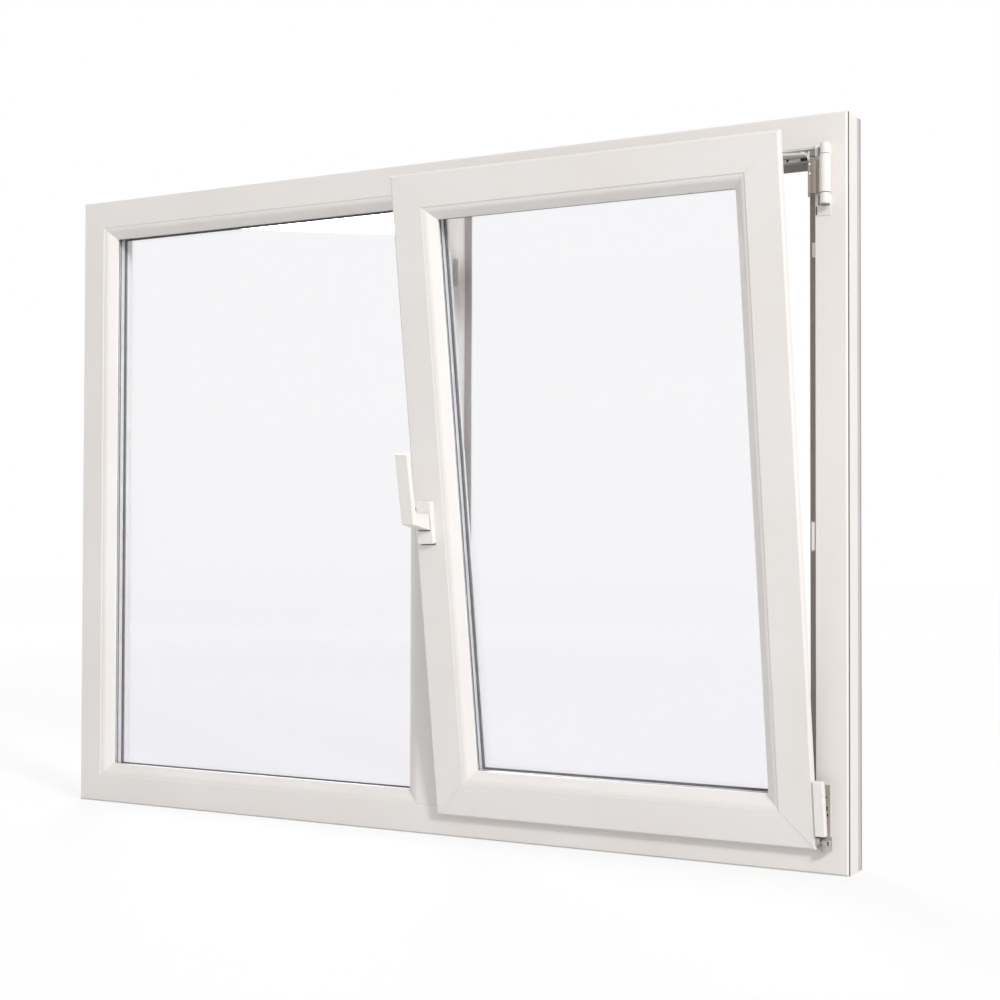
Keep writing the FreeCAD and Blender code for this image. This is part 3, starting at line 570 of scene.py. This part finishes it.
def jamb_details():
    """The keeper's knob and guide, the clip on the lip seal and the slot below the top hinge."""
    keeper_level = 0.530
    knob = Matrix.Translation((0.738, -0.022, keeper_level)) @ Matrix.Rotation(math.radians(-90), 4, "Y")
    profile = [(0, 0), (3.4 * MM, 0), (3.4 * MM, 1.6 * MM), (2.9 * MM, 2.1 * MM), (1.4 * MM, 2.1 * MM),
               (1.2 * MM, 1.2 * MM), (0, 1.2 * MM)]
    add_piece("hinge_keeper_knob", revolved(profile), knob, plated_steel, "frame")
    slope = on_face((0.7425, FACE_Y + 4 * MM, keeper_level), ACROSS_X, UPWARD)
    guide = plate(rounded(5.5 * MM, 44 * MM, 1.2 * MM), 1.2 * MM, 0.4 * MM)
    add_piece("hinge_keeper_guide", guide, slope, fitting_white, "frame")
    clip_face = on_face((0.7295, SEAL_Y, 0.992), ACROSS_X, UPWARD)
    clip = plate(rounded(9 * MM, 24 * MM, 1.5 * MM), 0.35 * MM, 0.12 * MM)
    add_piece("lip_seal_clip", clip, clip_face, fitting_white, "frame")
    hole("knuckle_plate_slot", on_face((0.7500, KNUCKLE_PLATE_FRONT, 1.0455), ACROSS_X, UPWARD), 1.5 * MM,
         13 * MM, "frame")


def top_hinge_details():
    """Painted shadow strips beside the knuckles, a dark grey disc under the lower knuckle, white tongue,
    washers and a grey line of painted shade along the sleeve's edge on the top hinge.
    """
    # Painted shadow: dark strips on the knuckle plate beside the knuckles, where the caps cast their shade.
    painted_shadow_x = PIN_X - 13.8 * MM
    painted_shadow_sizes = ((1.0612, 15.2 * MM), (1.1398, 14.5 * MM))
    for index, (level, height) in enumerate(painted_shadow_sizes):
        painted_shadow_face = on_face((painted_shadow_x, KNUCKLE_PLATE_FRONT, level), ACROSS_X, UPWARD)
        painted_shadow_plate = plate(rounded(2.9 * MM, height, 1 * MM), 0.4 * MM, 0.1 * MM)
        add_piece("knuckle_painted_shadow_%d" % (index + 1), painted_shadow_plate, painted_shadow_face, gasket_dark, "frame")
    disc_thickness = 1.0 * MM
    # A dark grey disc darkens the lower knuckle's underside.
    underside_place = Matrix.Translation((PIN_X, PIN_Y, 1.0514))
    add_piece("lower_knuckle_underside", disc(7.6 * MM, disc_thickness), underside_place, butyl_and_underside_grey,
              "frame")
    tongue_face = on_face((PIN_X - 18.3 * MM, KNUCKLE_PLATE_FRONT, 1.1410), ACROSS_X, UPWARD)
    tongue = plate(rounded(3.8 * MM, 18.5 * MM, 1.2 * MM), 1.4 * MM, 0.4 * MM)
    add_piece("top_hinge_tongue", tongue, tongue_face, fitting_white, "frame")
    washer_radius = 7.7 * MM
    washer_levels = (1.0707, 1.1319)
    for index, level in enumerate(washer_levels):
        add_piece("top_hinge_washer_%d" % (index + 1), disc(washer_radius, disc_thickness),
                  Matrix.Translation((PIN_X, PIN_Y, level)), joint_dark_and_painted_shade, "frame")
    # Painted shade: a grey line along the sleeve's right edge, where the edge turns into shade.
    side = math.radians(-2)
    sleeve_reach = 8.95 * MM
    normal = (math.cos(side), math.sin(side), 0)
    spot = (PIN_X + sleeve_reach * normal[0], PIN_Y + sleeve_reach * normal[1])
    ridge("sleeve_edge_painted_shade", (spot[0], spot[1], 1.0740), (spot[0], spot[1], 1.1300), normal, 1.6 * MM,
          0.15 * MM, strip_grey, "stay")


def bottom_hinge_details():
    """Openings and screws of the bearing's strip, the painted shade under the corner's cover and the pivot's
    slot.
    """
    openings = (("hole", -2.8, 0.1213, 3.0, 3.0), ("slot_high", -1.7, 0.1035, 2.4, 8.0),
                ("slot_low", -0.9, 0.0935, 2.4, 5.0))
    for label, x, level, width, height in openings:
        face = on_face((PIN_X + x * MM, BEARING_FRONT, level), ACROSS_X, UPWARD)
        hole("bearing_%s" % label, face, width * MM, height * MM, "frame")
    # Painted shade: a near-black plate in the opening under the corner's cover, standing for the shade
    # there.
    hollow = plate(rounded(15.5 * MM, 6.4 * MM, 1 * MM), 2.8 * MM, 0.2 * MM)
    cover_shade_place = Matrix.Translation((0.7613, -0.0509, 0.0605))
    add_piece("cover_gap_painted_shade", hollow, TILT_POSE @ cover_shade_place, recess_painted_shade, "sash")
    slot_angle = math.radians(40)
    reach = 7.5 * MM
    spot = (PIN_X + reach * math.sin(slot_angle), PIN_Y - reach * math.cos(slot_angle), 0.0515)
    face = on_face(spot, (math.cos(slot_angle), math.sin(slot_angle), 0), UPWARD)
    hole("pivot_slot", face, 2.6 * MM, 7 * MM, "pivot_link")
    screw_x = PIN_X - 11.5 * MM
    screw_levels = (0.041, 0.055)
    for index, level in enumerate(screw_levels):
        rivet("bearing_screw_%d" % (index + 1), on_face((screw_x, BEARING_FRONT, level), ACROSS_X, UPWARD),
              1.9 * MM, 0.8 * MM, plated_steel, "frame")


def screw_head(name, face, radius, body, material, pose=Matrix()):
    """A countersunk screw: a flat dished head whose crossed recess is a dark plate of painted shade."""
    profile = [(0, 0), (radius, 0), (radius, 0.25 * MM), (0.9 * radius, 0.45 * MM),
               (0.35 * radius, 0.35 * MM), (0, 0.35 * MM)]
    add_piece(name, revolved(profile, 20), pose @ face, material, body)
    arm = 0.5 * radius
    thin = 0.16 * radius
    cross = [(thin, thin), (thin, arm), (-thin, arm), (-thin, thin), (-arm, thin), (-arm, -thin),
             (-thin, -thin), (-thin, -arm), (thin, -arm), (thin, -thin), (arm, -thin), (arm, thin)]
    recess = layered([[(x, y, z) for x, y in cross] for z in (0.2 * MM, 0.42 * MM)])
    add_piece(name + "_cross", recess, pose @ face, recess_painted_shade, body)


def strip_screws():
    """Screws along the lock strip and on the two keepers."""
    strip_x = SASH["left"] + FLANGE_WIDTH
    first = SASH["bottom"] + 0.11
    pitch = 0.148
    for index in range(7):
        face = on_face((strip_x, GROOVE_Y, first + index * pitch), (0, -1, 0), UPWARD)
        screw_head("lock_strip_screw_%d" % (index + 1), face, 3.2 * MM, "sash", plated_steel,
                   TILT_POSE)
    keeper_x = MULLION_RIGHT + 7 * MM
    keeper_y = GROOVE_Y + 10 * MM
    keeper_inset = 0.15
    screw_shift = 0.017
    keepers = (("low", SASH["bottom"] + keeper_inset), ("high", SASH["top"] - keeper_inset))
    for label, centre in keepers:
        for index, shift in enumerate((-screw_shift, screw_shift)):
            face = on_face((keeper_x, keeper_y, centre + shift), (0, 1, 0), UPWARD)
            screw_head("keeper_%s_screw_%d" % (label, index + 1), face, 2.4 * MM, "frame",
                       plated_steel)


def handle_details():
    """The dark joint behind the lever's neck, drawn down below the neck as painted shadow, a dark plate
    under the rosette that shows round it as painted shadow, and the thin slot beside it.
    """
    centre_x = SASH["left"] + 24.5 * MM
    centre_z = SASH["bottom"] + 0.519
    rosette_front = SASH_Y - 10 * MM
    # Dark joint between the neck and the rosette; made taller downwards, where it is painted shadow under
    # the neck.
    joint_face = on_face((centre_x, rosette_front, centre_z + 0.8 * MM), ACROSS_X, UPWARD)
    joint = plate(rounded(23.9 * MM, 29.8 * MM, 1 * MM), 0.95 * MM, 0.1 * MM)
    add_piece("handle_joint_and_painted_shadow", joint, TILT_POSE @ joint_face, joint_dark_and_painted_shade, "sash")
    # Painted shadow: a dark plate under the rosette whose rim shows round it as shade.
    rosette_shadow_face = on_face((centre_x, SASH_Y, centre_z - 2.2 * MM), ACROSS_X, UPWARD)
    rosette_shadow_plate = plate(rounded(30.4 * MM, 75 * MM, 3 * MM), 0.8 * MM, 0.2 * MM)
    add_piece("rosette_painted_shadow", rosette_shadow_plate, TILT_POSE @ rosette_shadow_face, joint_dark_and_painted_shade, "sash")
    slot_spot = (centre_x - 14.2 * MM, rosette_front, centre_z + 24 * MM)
    hole("rosette_slot", on_face(slot_spot, ACROSS_X, UPWARD), 1.0 * MM, 7 * MM, "sash", TILT_POSE)


def drain_details():
    """Two louvre lines on each drain cover outdoors."""
    front = BACK_Y + 6 * MM
    inset = 0.15
    half_length = 0.015
    line_levels = (0.0255, 0.0285)
    for label, centre in (("left", -RIGHT_REBATE + inset), ("right", RIGHT_REBATE - inset)):
        for index, level in enumerate(line_levels):
            ridge("drain_%s_line_%d" % (label, index + 1), (centre - half_length, front, level),
                  (centre + half_length, front, level), OUTDOORS, 1.2 * MM, 0.6 * MM, fitting_white,
                  "frame")


weld_seams()
outer_strips()
butyl_lines()
rebate_plate_details()
crank_details()
jamb_details()
top_hinge_details()
bottom_hinge_details()
strip_screws()
handle_details()
drain_details()


# Floor and surroundings: two lamps, a plain level of light around, and a floor that shows as white
KEY_PLACE = Vector((6.6, -4.15, 4.1))
LAMP_TARGET = Vector((0.1, 0, 0.5))
KEY_POWER = 376
KEY_SIZE = (1.3, 1.3)
REAR_PLACE = Vector((-4.2, 5.0, 3.4))
REAR_POWER = 150
REAR_SIZE = (2.4, 2.4)
AMBIENT = 0.63
FLOOR_TONE = 0.34
FLOOR_BOUNCE = 0.72
FLOOR_WHITE = 0.995
FLOOR_DROP = 0.0008
FLOOR_LEFT = -14
FLOOR_RIGHT = 14
FLOOR_NEAR = -9
FLOOR_FAR = 16


def calculate(tree, operation, first, second):
    """Add a calculation between two values; either may be a plain number."""
    node = tree.nodes.new("ShaderNodeMath")
    node.operation = operation
    for socket, value in zip(node.inputs, (first, second)):
        if isinstance(value, (int, float)):
            socket.default_value = value
        else:
            tree.links.new(value, socket)
    return node.outputs[0]


def lamp_on_floor(tree, spot, place, target, power):
    """Work out the brightness that one lamp gives a white floor at a spot."""
    apart = tree.nodes.new("ShaderNodeVectorMath")
    apart.operation = "SUBTRACT"
    apart.inputs[1].default_value = place
    tree.links.new(spot, apart.inputs[0])
    reach = tree.nodes.new("ShaderNodeVectorMath")
    reach.operation = "LENGTH"
    tree.links.new(apart.outputs["Vector"], reach.inputs[0])
    along = tree.nodes.new("ShaderNodeVectorMath")
    along.operation = "DOT_PRODUCT"
    along.inputs[1].default_value = (target - place).normalized()
    tree.links.new(apart.outputs["Vector"], along.inputs[0])
    fall = calculate(tree, "POWER", reach.outputs["Value"], 4.0)
    share = calculate(tree, "DIVIDE", along.outputs["Value"], fall)
    lit = calculate(tree, "MAXIMUM", share, 0.0)
    return calculate(tree, "MULTIPLY", lit, power * place.z / math.pi ** 2)


def white_stage():
    """A pale floor that keeps the object's shadow and meets the white backdrop without an edge."""
    material, tree, shader, output = new_material("pale_floor")
    tree.nodes.remove(shader)
    diffuse = tree.nodes.new("ShaderNodeBsdfDiffuse")
    path = tree.nodes.new("ShaderNodeLightPath")
    direct = calculate(tree, "MAXIMUM", path.outputs["Is Camera Ray"], path.outputs["Is Transmission Ray"])
    tone = ramp(tree, direct, (FLOOR_BOUNCE, FLOOR_BOUNCE, FLOOR_BOUNCE, 1),
                (FLOOR_TONE, FLOOR_TONE, FLOOR_TONE, 1), 0.0, 1.0)
    tree.links.new(tone, diffuse.inputs["Color"])
    glow = tree.nodes.new("ShaderNodeEmission")
    glow.inputs["Color"].default_value = (1, 1, 1, 1)
    place = tree.nodes.new("ShaderNodeTexCoord").outputs["Object"]
    key = lamp_on_floor(tree, place, KEY_PLACE, LAMP_TARGET, KEY_POWER)
    rear = lamp_on_floor(tree, place, REAR_PLACE, LAMP_TARGET, REAR_POWER)
    lamps = calculate(tree, "ADD", key, rear)
    lit = calculate(tree, "MULTIPLY", calculate(tree, "ADD", lamps, AMBIENT), FLOOR_TONE)
    missing = calculate(tree, "MAXIMUM", calculate(tree, "SUBTRACT", FLOOR_WHITE, lit), 0.0)
    tree.links.new(calculate(tree, "MULTIPLY", direct, missing), glow.inputs["Strength"])
    total = tree.nodes.new("ShaderNodeAddShader")
    tree.links.new(diffuse.outputs["BSDF"], total.inputs[0])
    tree.links.new(glow.outputs["Emission"], total.inputs[1])
    tree.links.new(total.outputs["Shader"], output.inputs["Surface"])
    return material


floor_mesh = bpy.data.meshes.new("floor")
floor_corners = [(FLOOR_LEFT, FLOOR_NEAR, 0), (FLOOR_RIGHT, FLOOR_NEAR, 0), (FLOOR_RIGHT, FLOOR_FAR, 0),
                 (FLOOR_LEFT, FLOOR_FAR, 0)]
floor_mesh.from_pydata(floor_corners, [], [(0, 1, 2, 3)])
floor = bpy.data.objects.new("floor", floor_mesh)
floor.location.z = -FLOOR_DROP
bpy.context.collection.objects.link(floor)
floor_mesh.materials.append(white_stage())

world = bpy.data.worlds.new("studio")
bpy.context.scene.world = world
world.use_nodes = True
world_tree = world.node_tree
world_tree.nodes.clear()
world_out = world_tree.nodes.new("ShaderNodeOutputWorld")
backdrop = world_tree.nodes.new("ShaderNodeBackground")
backdrop.inputs["Color"].default_value = (1, 1, 1, 1)
backdrop.inputs["Strength"].default_value = 1.0
ambient = world_tree.nodes.new("ShaderNodeBackground")
ambient.inputs["Color"].default_value = (1.0, 0.995, 0.99, 1)
ambient.inputs["Strength"].default_value = AMBIENT
world_path = world_tree.nodes.new("ShaderNodeLightPath")
seen = calculate(world_tree, "MAXIMUM", world_path.outputs["Is Camera Ray"],
                 world_path.outputs["Is Transmission Ray"])
world_mix = world_tree.nodes.new("ShaderNodeMixShader")
world_tree.links.new(seen, world_mix.inputs["Fac"])
world_tree.links.new(ambient.outputs["Background"], world_mix.inputs[1])
world_tree.links.new(backdrop.outputs["Background"], world_mix.inputs[2])
world_tree.links.new(world_mix.outputs["Shader"], world_out.inputs["Surface"])


def area_light(name, place, target, size, power):
    """Hang a rectangular lamp that looks at a point."""
    data = bpy.data.lights.new(name, "AREA")
    data.shape = "RECTANGLE"
    data.size, data.size_y = size
    data.energy = power
    lamp = bpy.data.objects.new(name, data)
    lamp.location = place
    lamp.rotation_euler = (Vector(target) - Vector(place)).to_track_quat("-Z", "Y").to_euler()
    bpy.context.collection.objects.link(lamp)


area_light("key", KEY_PLACE, LAMP_TARGET, KEY_SIZE, KEY_POWER)
area_light("rear", REAR_PLACE, LAMP_TARGET, REAR_SIZE, REAR_POWER)

# Camera, fitted to the straight edges in the photograph
YAW = 0.5213
PITCH = 0.0222
ROLL = 0.0026
CAMERA_PLACE = Vector((1.69466, -2.68577, 0.52466))
IMAGE_WIDTH = 1000
SENSOR = 36
FOCAL = 1754.10 / IMAGE_WIDTH * SENSOR
forward = Vector((-math.sin(YAW) * math.cos(PITCH), math.cos(YAW) * math.cos(PITCH), math.sin(PITCH)))
level_right = Vector((math.cos(YAW), math.sin(YAW), 0))
level_up = level_right.cross(forward)
right = level_right * math.cos(ROLL) + level_up * math.sin(ROLL)
up = level_up * math.cos(ROLL) - level_right * math.sin(ROLL)
camera_data = bpy.data.cameras.new("camera")
camera_data.sensor_width = SENSOR
camera_data.lens = FOCAL
camera_data.clip_end = 100
camera = bpy.data.objects.new("camera", camera_data)
camera.matrix_world = Matrix((
    (right.x, up.x, -forward.x, CAMERA_PLACE.x),
    (right.y, up.y, -forward.y, CAMERA_PLACE.y),
    (right.z, up.z, -forward.z, CAMERA_PLACE.z),
    (0, 0, 0, 1)))
bpy.context.collection.objects.link(camera)
bpy.context.scene.camera = camera
bpy.context.scene.view_settings.view_transform = "Standard"
